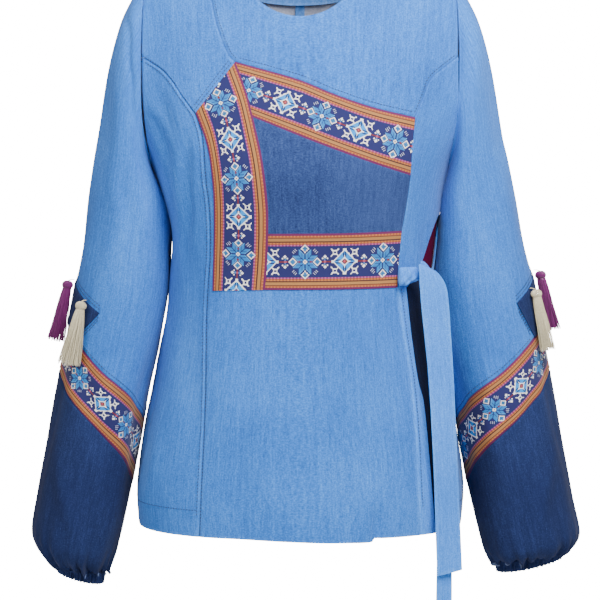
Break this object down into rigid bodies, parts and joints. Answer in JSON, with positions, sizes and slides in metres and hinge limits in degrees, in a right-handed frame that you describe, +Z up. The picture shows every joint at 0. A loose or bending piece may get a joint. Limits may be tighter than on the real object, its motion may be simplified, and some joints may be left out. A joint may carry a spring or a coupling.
{
  "type": "denim wrap jacket with woven ribbon trim and sleeve tassels",
  "caption": "Hip-length denim wrap jacket, filled out, tied at one side, with a woven ribbon frame on the front, blouson lower sleeves in darker denim and small sleeve tassels.",
  "frame": {"origin": "middle of the neck opening at the height of the shoulders' high points, where a wearer's neck and shoulders hold the jacket", "axes": "+Z up, -Y the way the front faces, +X towards the wearer's left"},
  "size_m": [0.5918, 0.2409, 0.7048],
  "materials": {
    "light_denim": "matte washed twill",
    "dark_denim": "matte unwashed twill",
    "woven_ribbon": "woven, slight sheen",
    "wine_facing": "matte plain weave",
    "plum": "silky thread",
    "cream": "silky thread"
  },
  "bodies": {
    "root": {"back_left": "light_denim", "back_right": "light_denim", "neck_facing_back": "light_denim", "shoulder_front_right": "light_denim", "side_front_right": "light_denim", "yoke_front": "light_denim", "front_wrap": "light_denim", "front_edge_band": "light_denim", "side_tie_panel_left": "light_denim", "side_front_left": "light_denim", "sleeve_upper_left": "light_denim", "sleeve_upper_right": "light_denim", "tie_knot": "light_denim", "tie_front": "light_denim", "tie_back": "light_denim", "inset_front": "dark_denim", "under_front_left": "dark_denim", "sleeve_lower_left": "dark_denim", "sleeve_lower_right": "dark_denim", "cuff_left": "dark_denim", "cuff_right": "dark_denim", "sleeve_diamond_left": "dark_denim", "sleeve_diamond_right": "dark_denim", "ribbon_vertical": "woven_ribbon", "ribbon_top": "woven_ribbon", "ribbon_bottom": "woven_ribbon", "sleeve_ribbon_left": "woven_ribbon", "sleeve_ribbon_right": "woven_ribbon", "facing_left": "wine_facing", "tassel_plum_left": "plum", "tassel_plum_right": "plum", "tassel_cream_left": "cream", "tassel_cream_right": "cream"}
  },
  "joints": []
}
